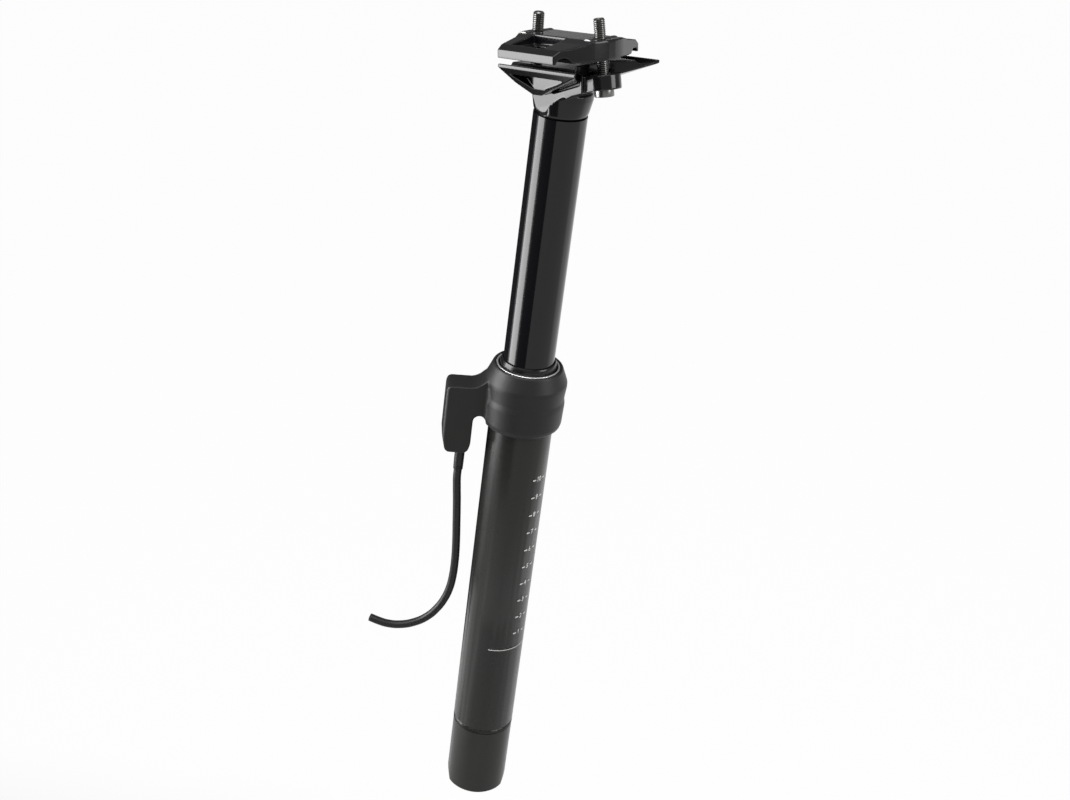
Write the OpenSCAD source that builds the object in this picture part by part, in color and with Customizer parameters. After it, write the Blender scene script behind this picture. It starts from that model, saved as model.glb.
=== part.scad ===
// Height-adjustable bicycle seatpost with a cable release at its collar.
// Millimetres. +X points to the front of the bicycle, +Y to its left, +Z up the post.
// The origin is on the post's axis, at the underside of the collar, where the frame's seat tube ends.

/* [Outer tube] */
// Diameter of the outer tube, the size of the frame's seat tube
tube_d = 30.9; // [30.5:0.1:31.6]
// Wall of the outer tube
tube_wall = 1.5; // [1.4:0.1:1.7]
// Length of the outer tube below the collar
tube_len = 177.2; // [174:0.2:200]
// Length of the bottom cap below the tube
cap_len = 40.2; // [25:0.2:60]
// Wall of the bottom cap
cap_wall = 3.2; // [2:0.1:5]

/* [Stanchion] */
// Diameter of the sliding stanchion
stanchion_d = 24.2; // [23.8:0.1:24.4]
// Wall of the stanchion
stanchion_wall = 2; // [1.6:0.1:2.2]
// Height of the stanchion's top end over the origin, with the post up
stanchion_top = 154.5; // [150:0.5:175]
// Length of stanchion that stays below the origin, with the post up
stanchion_overlap = 43; // [41:0.5:44]
// Distance that the saddle drops
travel = 110; // [90:1:110]

/* [Collar] */
// Largest diameter of the collar
collar_d = 39.2; // [38:0.1:42]
// Height of the collar
collar_h = 32; // [30:0.5:36]
// Diameter of the collar's top edge
collar_top_d = 33.4; // [32.5:0.1:35]
// Height of the cone at the collar's top
cone_h = 7.4; // [5:0.1:9]
// Diameter of the waist between the cone and the lower band
waist_d = 38; // [37:0.1:38.8]
// Height of the lower band of the collar
band_h = 14.6; // [13:0.1:16]
// Length of the tube's thread inside the collar
thread_len = 16.6; // [16.2:0.1:18]

/* [Cable box] */
// Direction of the cable box from the front, towards the left
box_angle = 49; // [30:1:90]
// Distance from the post's axis to the box's inner face
box_in = 23.5; // [23:0.1:24.4]
// Distance from the post's axis to the box's outer face
box_out = 37.4; // [36.4:0.1:42]
// Thickness of the box
box_w = 14; // [12.4:0.2:18]
// Height of the box's top over the origin
box_top = 20.2; // [19.6:0.1:22]
// Depth of the box's bottom under the origin
box_drop = 15.2; // [13:0.2:20]
// Wall of the box
box_wall = 1.8; // [1.4:0.1:2.2]
// Distance from the post's axis to the cable
cable_rho = 27.6; // [27.4:0.1:28.4]
// Diameter of the cable's outer casing
cable_d = 4; // [3.6:0.2:4.4]
// Diameter of the ferrule at the cable's end
ferrule_d = 4.9; // [4.6:0.1:5]
// Length of ferrule that shows below the box
ferrule_show = 12.3; // [8:0.1:16]

/* [Head] */
// Height of the head's reference point over the origin
head_z = 175; // [174:0.5:200]
// Angle that the head leans, rear up
head_tilt = 10.4; // [6:0.2:14]
// Distance that the clamp's middle sits behind the post's axis
head_back = 1.2; // [0:0.1:3]
// Half the distance between the bolts, at the barrel nuts
bolt_x = 18.8; // [18.4:0.1:19.6]
// Angle that each bolt leans to the middle
bolt_lean = 6; // [4:0.5:7]
// Thread diameter of the clamp bolts
bolt_d = 5; // [4:0.5:5]
// Head diameter of the clamp bolts
bolt_head_d = 8.5; // [8:0.1:9]
// Thickness of the head between its side flats
head_w = 19; // [17:0.2:20]
// Diameter of the ears that the bolts pass through
ear_d = 15.2; // [13:0.2:16]
// Radius of the curved seat that the clamp tilts on
seat_r = 19.5; // [19:0.1:20]

/* [Rail clamp] */
// Diameter of a saddle rail
rail_d = 7; // [6.8:0.1:7.2]
// Distance between the saddle rails
rail_span = 44; // [43:0.5:44.5]
// Width of the clamp across both rails
clamp_w = 53; // [52:0.2:56]
// Reach of the lower cradle to the front
cradle_front = 16.5; // [16:0.1:18]
// Reach of the lower cradle to the rear
cradle_rear = 28.8; // [26:0.1:32]
// Length of the upper plate's ends along the rails
plate_len = 33; // [30:0.2:36]
// Angle that the clamp can tilt each way
clamp_tilt = 8; // [6:0.5:8]

/* [Cartridge] */
// Outer diameter of the gas cartridge
cart_d = 18; // [17.6:0.1:18.2]
// Wall of the gas cartridge
cart_wall = 1.2; // [1:0.1:1.4]
// Diameter of the hollow piston rod
rod_d = 6; // [5.6:0.1:6.4]
// Diameter of the piston rod's bore
rod_bore = 2.6; // [2.4:0.1:2.8]

/* [Release] */
// Angle that the release lever turns
lever_turn = 15; // [10:1:15]
// Diameter of the release rod between lever and rocker
pull_d = 1; // [0.9:0.1:1.1]
// Number of turns of the return spring
spring_turns = 7; // [5:1:9]

/* [Hidden] */
$fn = 64;

// Clearances
run = 0.03;     // between a sliding piece and its bearing
seat = 0.05;    // between pieces that are screwed or pressed together
free = 0.35;    // between moving pieces that only pass each other
over = 1;       // how far a cutter reaches past what it cuts

// Tubes
tube_r = tube_d / 2;
tube_in = tube_r - tube_wall;
thread_r = tube_r - 0.45;
stanchion_r = stanchion_d / 2;
stanchion_in = stanchion_r - stanchion_wall;

// Guide keys run in grooves inside the tube, a third of a turn apart
key_r = 1.25;
key_at = tube_in - 0.95;
key_len = 10;
key_top = -14;
key_angles = [for (i = [0 : 2]) box_angle + 60 + 120 * i];
key_groove_r = key_r + 0.15;

// Stack inside the stanchion, from its lower end up
bushing_lift = 2;
bushing_h = 13;
end_nut_t = 2;
end_nut_bore = 7;
gland_flange = 2;
cart_r = cart_d / 2;
cart_in = cart_r - cart_wall;
cart_foot = -stanchion_overlap + 5;
gland_top = cart_foot + 9;
rod_r = rod_d / 2;
piston_h = 8;
piston_z = gland_top + 7;
rod_nut_h = 3;
float_h = 8;
float_gap = 2.5;
float_z = piston_z + piston_h + rod_nut_h + travel + float_gap;
float_rise = travel * pow(rod_r / cart_in, 2);
plug_z = float_z + float_h + float_rise + 1.5;
plug_h = 6;
stud_r = 4;
stud_len = 12;
cart_top = plug_z + plug_h;
spigot_foot = cart_top + 3;

// Lower end of the outer tube
foot_lift = 20.7;
foot_top = -tube_len + foot_lift;
foot_h = 12;
foot_boss_h = 5;
foot_boss_top = foot_top + foot_boss_h;
foot_boss_r = 6.5;
cap_r = tube_r - 0.1;
cap_spigot_top = foot_top - foot_h - 0.3;
flat_depth = 1.9;
flat_h = 6.5;
flat_angle = 45;

// Collar and its bores
collar_r = collar_d / 2;
wiper_h = 5.5;
wiper_seat = collar_h - wiper_h;
ring_r = 0.55;
ring_at = tube_r - 0.85;
mouth_r = ring_at + ring_r + 0.15;

// Cable box
arch_r = 3;
arch_z = 5.4;
box_round = 2.2;
arm_fillet = 4;
box_inner_wall = 1;
cover_t = 1.6;
floor_z = -box_drop + 6;
cover_foot = floor_z - 3.2;
cover_top = box_top - 1;
cover_rho = [box_in + 1.1, box_out - 2.2];
screw_rho = box_out - 4.4;
screw_z = floor_z - 1.3;
screw_r = 0.9;
screw_len = 5;
ferrule_foot = -box_drop - ferrule_show;

// Release lever, in the plane of the cable box
pivot_rho = 20;
pivot_z = 11.5;
pivot_r = 1;
lever_w = 3;
pull_at = tube_in - 0.85;
bead_r = 0.7;
nipple_r = 1.5;
wire_r = 0.6;
slot_w = lever_w + 1.4;
pin_end = slot_w / 2 + 1.8;
pin_start = -box_w / 2;

// Valve rocker at the foot of the post
rocker_pivot = -8;
rocker_w = 3;
rocker_h = 3.6;
rocker_top = foot_top - 3.4;
rocker_slot_top = rocker_top + 1.4;
valve_r = rod_bore / 2 - 0.3;

// Head and clamp, in the leaning frame of the head
nut_z = 10.45;
nut_r = 4;
nut_len = 17;
tilt_z = nut_z - bolt_x * tan(bolt_lean);
bolt_r = bolt_d / 2;
bolt_tip = 12;
neck_drop = 9;
ear_top = -11;
ear_foot = -17.5;
bolt_head_h = 3.2;
washer_h = 0.8;
washer_d = bolt_head_d + 1;
rail_r = rail_d / 2;
rail_z = 4.45;
cradle_top = 3.2;
rim_h = 1.4;
plate_foot = 5.6;
plate_edge = 9.2;
plate_top = 14.1;
keel_z = -11.3;
keel_y = head_w / 2 + 2;
keel_front = 10.7;
keel_rear = 5.7;
cheek_t = 2;
cheek_foot = -9.6;
foot_w = head_w - 2 * cheek_t - 0.4;
waist_x = bolt_x - bolt_r - 1.8;

// Cable route: distance from the axis and height, straight out of the ferrule and then
// swinging in along the tube and out to its cut end
cable_route = [
    [cable_rho, ferrule_foot], [27.6, -32.2], [27.1, -38.2], [26.5, -44.2], [25.9, -51.2],
    [25.3, -58.7], [24.7, -66.2], [24.2, -74.2], [24, -82.1], [24.2, -89.6], [25.1, -97.2],
    [27.2, -104.3], [30.5, -110.5], [35, -115.8], [41.2, -119.7], [48.2, -121.6], [54.7, -121.4],
    [59.7, -119.9], [63.7, -118.2]
];
cable_sides = 10;

// Colours
satin_black = "#1c1c1e";
gloss_black = "#121213";
dark_steel = "#3a3a3d";
bright_steel = "#c9ccd0";
brass = "#b59a54";
nylon = "#e4e0d4";
rubber = "#161616";

// Puts a shape that is drawn with +X outwards into the direction of the cable box
module towards_box() {
    rotate([0, 0, box_angle]) children();
}

// Puts a shape into the head's leaning frame
module in_head() {
    translate([0, 0, head_z]) rotate([0, head_tilt, 0]) translate([-head_back, 0, 0]) children();
}

// Puts a shape on a bolt's axis, with its zero at the barrel nut; side is 1 at the front, -1 at the rear
module on_bolt(side) {
    in_head() translate([side * bolt_x, 0, nut_z]) rotate([0, -side * bolt_lean, 0]) children();
}

// A cylinder between two heights
module rod(r, z0, z1) {
    translate([0, 0, z0]) cylinder(r = r, h = z1 - z0);
}

// A tube between two heights
module ring(r_in, r_out, z0, z1) {
    difference() {
        rod(r_out, z0, z1);
        rod(r_in, z0 - over, z1 + over);
    }
}

// A ring of round section
module torus(r_big, r_small, z) {
    translate([0, 0, z]) rotate_extrude() translate([r_big, 0]) circle(r = r_small, $fn = 24);
}

// A cylinder along Y, centred
module cross_rod(r, len) {
    rotate([90, 0, 0]) cylinder(r = r, h = len, center = true);
}

// A slab whose outline is drawn in X and Z, centred on Y
module slab(w) {
    rotate([90, 0, 0]) linear_extrude(w, center = true) children();
}

// A rectangle with round corners, centred on Y
module round_rect(x0, x1, w, r) {
    translate([x0 + r, -w / 2]) square([x1 - x0 - 2 * r, w]);
    translate([x0, -w / 2 + r]) square([x1 - x0, w - 2 * r]);
    for (x = [x0 + r, x1 - r], y = [-w / 2 + r, w / 2 - r]) translate([x, y]) circle(r = r, $fn = 32);
}

// Faces of a tube that joins rings of equal size, each ring's points in turn
function tube_faces(rings, sides) = concat(
    [for (i = [0 : rings - 2], j = [0 : sides - 1]) let (a = i * sides, k = (j + 1) % sides)
        [a + j, a + k, a + sides + j]],
    [for (i = [0 : rings - 2], j = [0 : sides - 1]) let (a = i * sides, k = (j + 1) % sides)
        [a + k, a + sides + k, a + sides + j]],
    [[for (j = [sides - 1 : -1 : 0]) j]],
    [[for (j = [0 : sides - 1]) (rings - 1) * sides + j]]
);

// Direction of a flat route at its point i
function route_way(route, i) =
    let (a = route[max(i - 1, 0)], b = route[min(i + 1, len(route) - 1)], d = b - a) d / norm(d);

// A round cord along a flat route in X and Z
module cord(route, r, sides) {
    points = [for (i = [0 : len(route) - 1], j = [0 : sides - 1])
        let (way = route_way(route, i), a = 360 * j / sides)
        [route[i].x - way.y * r * cos(a), r * sin(a), route[i].y + way.x * r * cos(a)]];
    polyhedron(points, tube_faces(len(route), sides));
}

// A coil spring between two heights
module coil(r, wire, z0, z1, turns, per_turn, sides) {
    steps = turns * per_turn;
    rise = z1 - z0;
    lead = atan2(rise / turns, 360 / 57.2958 * r);
    points = [for (i = [0 : steps], j = [0 : sides - 1])
        let (t = 360 * i / per_turn, a = 360 * j / sides, u = wire * cos(a), v = wire * sin(a))
        [(r + u) * cos(t) + v * sin(lead) * sin(t),
         (r + u) * sin(t) - v * sin(lead) * cos(t),
         z0 + rise * i / steps + v * cos(lead)]];
    polyhedron(points, [for (f = tube_faces(steps + 1, sides)) [for (k = [len(f) - 1 : -1 : 0]) f[k]]]);
}

// Lower tube that slides into the frame, with its thread at the top and three key grooves inside
module outer_tube() {
    color(satin_black) difference() {
        union() {
            rod(tube_r, -tube_len, 0);
            rod(thread_r, -over, thread_len);
        }
        rod(tube_in, -tube_len - over, thread_len + over);
        for (a = key_angles) rotate([0, 0, a]) translate([key_at, 0, 0])
            rod(key_groove_r, foot_top + 8, thread_len + over);
        towards_box() translate([tube_in - over, -slot_w / 2, pivot_z - 4])
            cube([tube_wall + 2 * over, slot_w, thread_len]);
    }
}

// Cup that closes the tube's lower end, with two sloping flats on its rim for a spanner
module bottom_cap() {
    color(satin_black) difference() {
        union() {
            rod(cap_r, -tube_len - cap_len + 1, -tube_len - 0.5);
            rod(cap_r - 0.8, -tube_len - 0.6, -tube_len);
            rod(tube_in - seat, -tube_len - over, cap_spigot_top);
            translate([0, 0, -tube_len - cap_len]) cylinder(r1 = cap_r - 1, r2 = cap_r, h = 1);
        }
        rod(cap_r - cap_wall, -tube_len - cap_len + cap_wall, -tube_len - 3);
        rod(tube_in - seat - cap_wall, -tube_len - 3 - over, cap_spigot_top + over);
        translate([0, 0, -tube_len]) rotate_extrude()
            translate([tube_in - 1.6, 3]) square([3, 1.7]);
        for (side = [0, 180]) rotate([0, 0, flat_angle + side])
            translate([cap_r - flat_depth, -cap_r, -tube_len - cap_len])
                rotate([0, atan(flat_depth / flat_h), 0]) translate([0, 0, -over])
                    cube([2 * flat_depth, 2 * cap_r, flat_h + 2 * over]);
    }
}

// Seal between the cap and the tube
module cap_o_ring() {
    color(rubber) torus(tube_in - 0.79, 0.74, -tube_len + 3.85);
}

// Outline of the collar's wall, drawn as radius and height
module collar_outline() {
    polygon([
        [thread_r - over, 0], [collar_r - 3.2, 0], [collar_r - 2, 0.8], [collar_r - 0.9, 2],
        [collar_r - 0.4, 3.8],
        [collar_r - 0.1, band_h - 1.2], [collar_r - 0.25, band_h], [waist_d / 2, band_h + 1.6],
        [waist_d / 2 + 0.15, band_h + 4], [collar_r - 0.05, collar_h - cone_h - 1.6],
        [collar_r - 0.1, collar_h - cone_h], [collar_top_d / 2, collar_h - 0.5],
        [collar_top_d / 2 - 0.6, collar_h], [thread_r - over, collar_h]
    ]);
}

// Side outline of the arm and the box
module box_outline() {
    polygon([
        [thread_r, 1], [box_in - 0.4, 1], [box_in, -box_drop + 5], [box_in + 0.9, -box_drop + 1.5],
        [box_in + 2.6, -box_drop], [box_out - 3.4, -box_drop], [box_out - 1.7, -box_drop + 1.5],
        [box_out + 0.1, -box_drop + 9], [box_out, box_top - box_round], [box_out - 0.65, box_top - 0.65],
        [box_out - box_round, box_top], [collar_r + 5.8, box_top],
        [collar_r + 3.5, box_top + 0.6], [collar_r + 1.4, box_top + 2],
        [collar_r - 0.6, box_top + 4], [thread_r, box_top + 4]
    ]);
}

// Outline of the gap between the box and the tube: an arch, with a slope under the collar
module arch_outline() {
    translate([box_in - arch_r, arch_z - arch_r]) circle(r = arch_r);
    polygon([
        [tube_r + 0.4, -box_drop], [tube_r + 0.4, 0], [box_in - arch_r, arch_z], [box_in, arch_z - arch_r],
        [box_in, -box_drop]
    ]);
}

// Fillet in plan between one side of the arm and the collar's wall
module fillet_plan() {
    wall = collar_r - 0.4;
    side = box_w / 2 + arm_fillet;
    centre = [sqrt(pow(wall + arm_fillet, 2) - pow(side, 2)), side];
    difference() {
        polygon([[thread_r, 0], [centre.x, 0], [centre.x, box_w / 2], centre * wall / (wall + arm_fillet)]);
        translate(centre) circle(r = arm_fillet);
    }
}

// Rounded plan that trims the arm and the box
module box_plan() {
    round_rect(0, box_out + 0.1, box_w, box_round);
}

// Collar on top of the tube, in one casting with the arm and the box of the cable
module actuator_collar() {
    color(satin_black) difference() {
        union() {
            rotate_extrude($fn = 128) collar_outline();
            towards_box() {
                intersection() {
                    slab(box_w) box_outline();
                    translate([0, 0, -box_drop - over]) linear_extrude(box_drop + collar_h) box_plan();
                }
                for (side = [0, 1]) mirror([0, side, 0]) translate([0, 0, arch_z - 1])
                    linear_extrude(box_top - arch_z + 1.5) fillet_plan();
            }
        }
        rod(thread_r + seat, -over, thread_len + seat);
        rod(tube_in, 0, collar_h);
        rod(mouth_r, wiper_seat, collar_h + over);
        towards_box() {
            slab(box_w + 2 * arm_fillet) arch_outline();
            // Slot for the lever, from the tube to the box
            translate([tube_in, -slot_w / 2, arch_z + 1.4])
                cube([cable_rho - tube_in, slot_w, box_top - 3 - arch_z - 1.4]);
            // Hollow of the box, open on its far side
            translate([box_in + box_inner_wall, -box_w / 2 + cover_t, floor_z]) cube([
                box_out - box_in - box_inner_wall - box_wall, box_w - cover_t - box_wall,
                box_top - box_wall - floor_z
            ]);
            // Seat of the cover
            translate([cover_rho[0] - seat, -box_w / 2 - over, cover_foot - seat]) cube([
                cover_rho[1] - cover_rho[0] + 2 * seat, cover_t + over, cover_top - cover_foot + 2 * seat
            ]);
            translate([cable_rho, 0, -box_drop - over]) cylinder(d = ferrule_d + 2 * seat, h = 6 + 2 * over);
            translate([pivot_rho, pin_end, pivot_z])
                rotate([90, 0, 0]) cylinder(r = pivot_r + seat, h = pin_end - pin_start + over);
            translate([screw_rho, -box_w / 2, screw_z])
                rotate([-90, 0, 0]) cylinder(r = screw_r + seat, h = screw_len + 0.5);
        }
    }
}

// Cover of the box on its far side
module box_cover() {
    color(satin_black) towards_box() difference() {
        translate([cover_rho[0], -box_w / 2, cover_foot])
            cube([cover_rho[1] - cover_rho[0], cover_t - seat, cover_top - cover_foot]);
        translate([screw_rho, -box_w / 2 - over, screw_z])
            rotate([-90, 0, 0]) cylinder(r = screw_r + 0.15, h = cover_t + 2 * over);
    }
}

// Screw that holds the cover
module cover_screw() {
    head_h = 0.8;
    color(dark_steel) towards_box() translate([screw_rho, -box_w / 2, screw_z]) rotate([-90, 0, 0]) {
        translate([0, 0, -head_h]) cylinder(r = screw_r + 0.8, h = head_h);
        translate([0, 0, -head_h]) cylinder(r = screw_r, h = screw_len + head_h);
    }
}

// Lip seal round the stanchion
module wiper_seal() {
    lip = stanchion_r + run;
    color(rubber) rotate_extrude($fn = 96) polygon([
        [lip, collar_h + 2.8], [lip + 0.7, collar_h + 2.6], [lip + 1.25, collar_h + 1],
        [lip + 1.4, collar_h - 1.1], [mouth_r - 0.1, collar_h - 1.5], [mouth_r - 0.1, wiper_seat + seat],
        [lip + 0.5, wiper_seat + seat], [lip + 0.4, collar_h - 1.7], [lip, collar_h + 1.6]
    ]);
}

// Bright wire ring that keeps the seal in the collar
module retaining_ring() {
    color(bright_steel) torus(ring_at, ring_r, collar_h - 0.55);
}

// Bearing of the stanchion in the collar
module upper_bushing() {
    color(nylon) ring(stanchion_r + run, tube_in - seat, thread_len + 0.3, wiper_seat);
}

// End sleeve of the cable's casing, stepped where it stops against the box's floor
module cable_ferrule() {
    color(satin_black) towards_box() translate([cable_rho, 0, 0]) difference() {
        union() {
            rod(ferrule_d / 2, ferrule_foot + 1, floor_z);
            translate([0, 0, ferrule_foot]) cylinder(d1 = cable_d + 0.4, d2 = ferrule_d, h = 1);
        }
        rod(wire_r + 0.3, ferrule_foot - over, floor_z + over);
    }
}

// Outer casing of the cable, from the ferrule to its cut end
module cable() {
    color(satin_black) towards_box() cord(cable_route, cable_d / 2, cable_sides);
}

// Pivot of the release lever
module lever_pin() {
    color(bright_steel) towards_box() translate([pivot_rho, pin_end - seat, pivot_z])
        rotate([90, 0, 0]) cylinder(r = pivot_r, h = pin_end - pin_start - seat);
}

// Compression spring that pushes the lever up, round the inner wire
module return_spring() {
    color(bright_steel) towards_box() translate([cable_rho, 0, 0])
        coil(1.7, 0.3, floor_z + 0.35, pivot_z - 3, spring_turns, 8, 6);
}

// Block that carries the piston rod and the valve rocker at the tube's foot
module foot_block() {
    color(dark_steel) difference() {
        union() {
            rod(tube_in - seat, foot_top - foot_h, foot_top);
            rod(foot_boss_r, foot_top - over, foot_boss_top);
        }
        rod(rod_r + seat, foot_top - 0.6, foot_boss_top + over);
        rod(rod_bore / 2, foot_top - 3, foot_top);
        towards_box() {
            translate([rocker_pivot - 3, -rocker_w / 2 - 0.5, foot_top - foot_h - over])
                cube([tube_in - rocker_pivot + 4, rocker_w + 1, rocker_slot_top - foot_top + foot_h + over]);
            translate([pull_at, 0, 0]) rod(pull_d / 2 + free, foot_top - foot_h, foot_top + over);
            translate([pull_at, -pull_d / 2 - free, foot_top - foot_h])
                cube([2, pull_d + 2 * free, foot_h + over]);
            translate([rocker_pivot, 0, rocker_top - rocker_h / 2]) cross_rod(pivot_r + seat, 11);
        }
    }
}

// Pivot of the valve rocker
module rocker_pin() {
    color(bright_steel) towards_box() translate([rocker_pivot, 0, rocker_top - rocker_h / 2])
        cross_rod(pivot_r, 10);
}

// Hollow rod that stands on the foot block and carries the piston
module piston_rod() {
    color(bright_steel) ring(rod_bore / 2, rod_r, foot_top - 0.6 + seat, piston_z + piston_h + rod_nut_h);
}

// Piston that the cartridge slides over
module main_piston() {
    color(brass) difference() {
        rod(cart_in - seat, piston_z, piston_z + piston_h);
        rod(rod_r + seat, piston_z - over, piston_z + piston_h + over);
        translate([0, 0, piston_z + piston_h / 2 - 1]) rotate_extrude()
            translate([cart_in - 1.05, 0]) square([2, 2]);
    }
}

// Seal ring in the piston's groove
module piston_seal() {
    z = piston_z + piston_h / 2 - 1;
    color(rubber) ring(cart_in - 1.0, cart_in - run, z + 0.05, z + 1.95);
}

// Nut that holds the piston on its rod
module rod_nut() {
    color(bright_steel) difference() {
        translate([0, 0, piston_z + piston_h]) cylinder(r = rod_r + 2, h = rod_nut_h, $fn = 6);
        rod(rod_r + seat, piston_z, piston_z + piston_h + 2 * rod_nut_h);
    }
}

// Inner tube that carries the saddle
module stanchion() {
    color(gloss_black) difference() {
        ring(stanchion_in, stanchion_r, -stanchion_overlap, stanchion_top);
        for (a = key_angles) rotate([0, 0, a]) translate([key_at, 0, 0])
            rod(key_r + seat, key_top - key_len - seat, key_top + seat);
    }
}

// Side outline of the two arms of the head, from the neck to the ears
module arm_outline() {
    ear_x = bolt_x + 2.4;
    polygon([
        [-ear_x, -7], [-11, -9.9], [-4, -13.2], [-2, -16], [-2, -20.6], [2, -20.6], [2, -16],
        [4, -13.2], [11, -9.9], [ear_x, -7], [ear_x, -1], [-ear_x, -1]
    ]);
}

// Outline of the flats on the head's sides: straight down the front of the neck, and along the rear arm
module flat_outline() {
    end_x = bolt_x + 9;
    polygon([
        [end_x, 4], [end_x, -19.4], [3.1, -19.4], [2.2, -17.5], [0.8, -15.4], [-2.2, -13],
        [-9.3, -9.6], [-bolt_x - 2.4, -5.2], [-end_x, -5.2], [-end_x, 4]
    ]);
}

// Forged head with a curved seat for the clamp and an ear for each bolt
module seat_head() {
    flare = 1.5;
    neck_top = head_z - neck_drop;
    color(gloss_black) difference() {
        union() {
            rotate_extrude($fn = 96) polygon([
                [0, spigot_foot], [stanchion_in - seat, spigot_foot], [stanchion_in - seat, stanchion_top],
                [stanchion_r, stanchion_top], [stanchion_r + 0.1, stanchion_top + 0.6],
                [stanchion_r + 0.5, stanchion_top + 3], [stanchion_r + flare, stanchion_top + 8.5],
                [stanchion_r + flare, neck_top], [0, neck_top]
            ]);
            in_head() slab(head_w) arm_outline();
            for (side = [-1, 1]) on_bolt(side) rod(ear_d / 2, ear_foot, ear_top);
        }
        in_head() {
            for (side = [-1, 1]) translate([0, side * (head_w / 2 + 10), 0]) slab(20) flat_outline();
            // Curved seat between two cheeks
            translate([0, 0, tilt_z]) cross_rod(seat_r + seat, foot_w + 0.4);
            slab(2 * head_w) polygon([
                [-waist_x - 0.6, plate_top], [-waist_x - 0.6, cheek_foot + 5], [0, cheek_foot],
                [waist_x + 0.6, cheek_foot + 5], [waist_x + 0.6, plate_top]
            ]);
            // Relief beside the ears, where the arms narrow
            for (side = [-1, 1], end = [-1, 1])
                translate([end * (bolt_x + 4), side * (ear_d / 2 + 5), 0]) cube([12, 10, 40], center = true);
        }
        for (side = [-1, 1]) on_bolt(side) {
            rod(bolt_r + 0.25, ear_foot - over, ear_top + over);
            rod(washer_d / 2 + seat, ear_foot - bolt_head_h - over, ear_foot + washer_h);
        }
        rod(stud_r + seat, spigot_foot - over, cart_top + stud_len + 0.5);
    }
}

// Bearing on the stanchion's lower end, notched for the release rod
module lower_bushing() {
    bushing_foot = -stanchion_overlap + bushing_lift;
    color(nylon) difference() {
        ring(stanchion_r + seat, tube_in - run, bushing_foot, bushing_foot + bushing_h);
        towards_box() translate([stanchion_r, -pull_d / 2 - free, bushing_foot - over])
            cube([tube_in - stanchion_r + over, pull_d + 2 * free, bushing_h + 2 * over]);
    }
}

// Brass keys that stop the stanchion from turning
module guide_keys() {
    color(brass) for (a = key_angles) rotate([0, 0, a]) translate([key_at, 0, 0])
        rod(key_r, key_top - key_len, key_top);
}

// Nut that closes the stanchion's lower end and holds the cartridge
module stanchion_end_nut() {
    color(dark_steel) difference() {
        union() {
            rod(stanchion_r - 0.1, -stanchion_overlap - end_nut_t, -stanchion_overlap);
            rod(stanchion_in - seat, -stanchion_overlap - over, cart_foot - gland_flange);
        }
        rod(end_nut_bore, -stanchion_overlap - end_nut_t - over, cart_foot);
    }
}

// Tube of the gas cartridge
module cartridge_tube() {
    color(bright_steel) ring(cart_in, cart_r, cart_foot, cart_top);
}

// Lower end of the cartridge, which the piston rod passes through
module cartridge_gland() {
    color(brass) difference() {
        union() {
            rod(cart_r, cart_foot - gland_flange, cart_foot);
            rod(cart_in - seat, cart_foot - over, gland_top);
        }
        rod(rod_r + run, cart_foot - gland_flange - over, gland_top + over);
        rod(rod_r + 1.6, cart_foot + 2, cart_foot + 4);
    }
}

// Seal ring in the gland, round the piston rod
module rod_seal() {
    color(rubber) ring(rod_r + run, rod_r + 1.5, cart_foot + 2.05, cart_foot + 3.95);
}

// Upper end of the cartridge, with the stud that screws into the head
module cartridge_plug() {
    color(dark_steel) union() {
        rod(cart_in - seat, plug_z, cart_top);
        rod(cart_r, cart_top, cart_top + 1.5);
        rod(stud_r, cart_top, cart_top + stud_len);
    }
}

// The two clamp bolts, with a hexagon socket in each head
module clamp_bolts() {
    color(dark_steel) for (side = [-1, 1]) on_bolt(side) difference() {
        union() {
            rod(bolt_r, ear_foot, bolt_tip - 0.6);
            translate([0, 0, bolt_tip - 0.6]) cylinder(r1 = bolt_r, r2 = bolt_r - 0.5, h = 0.6);
            rod(bolt_head_d / 2, ear_foot - bolt_head_h, ear_foot);
        }
        translate([0, 0, ear_foot - bolt_head_h - over]) cylinder(r = 2.3, h = 2.5 + over, $fn = 6);
    }
}

// Washers let into the ears under the bolt heads
module bolt_washers() {
    color(bright_steel) for (side = [-1, 1]) on_bolt(side)
        ring(bolt_r + 0.2, washer_d / 2, ear_foot, ear_foot + washer_h - seat);
}

// Piston between oil and gas, free in the cartridge
module floating_piston() {
    color(brass) difference() {
        rod(cart_in - seat, float_z, float_z + float_h);
        rod(cart_in - 2.5, float_z + 3.2, float_z + float_h + over);
        translate([0, 0, float_z + 0.8]) rotate_extrude()
            translate([cart_in - 1.05, 0]) square([2, 2]);
    }
}

// Seal ring of the floating piston
module floating_seal() {
    color(rubber) ring(cart_in - 1.0, cart_in - run, float_z + 0.85, float_z + 2.75);
}

// Grooves for the two saddle rails
module rail_cuts() {
    for (side = [-1, 1]) translate([0, side * rail_span / 2, rail_z])
        rotate([0, 90, 0]) cylinder(r = rail_r, h = 4 * cradle_rear, center = true);
}

// Plan of the lower cradle: wide at the rails, with a waist between the bolts
module cradle_plan() {
    waist_y = head_w / 2 + 0.5;
    half = clamp_w / 2;
    polygon([
        [cradle_front, half], [waist_x, waist_y], [waist_x, -waist_y], [cradle_front, -half],
        [-cradle_rear, -half], [-waist_x, -waist_y], [-waist_x, waist_y], [-cradle_rear, half]
    ]);
}

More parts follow.
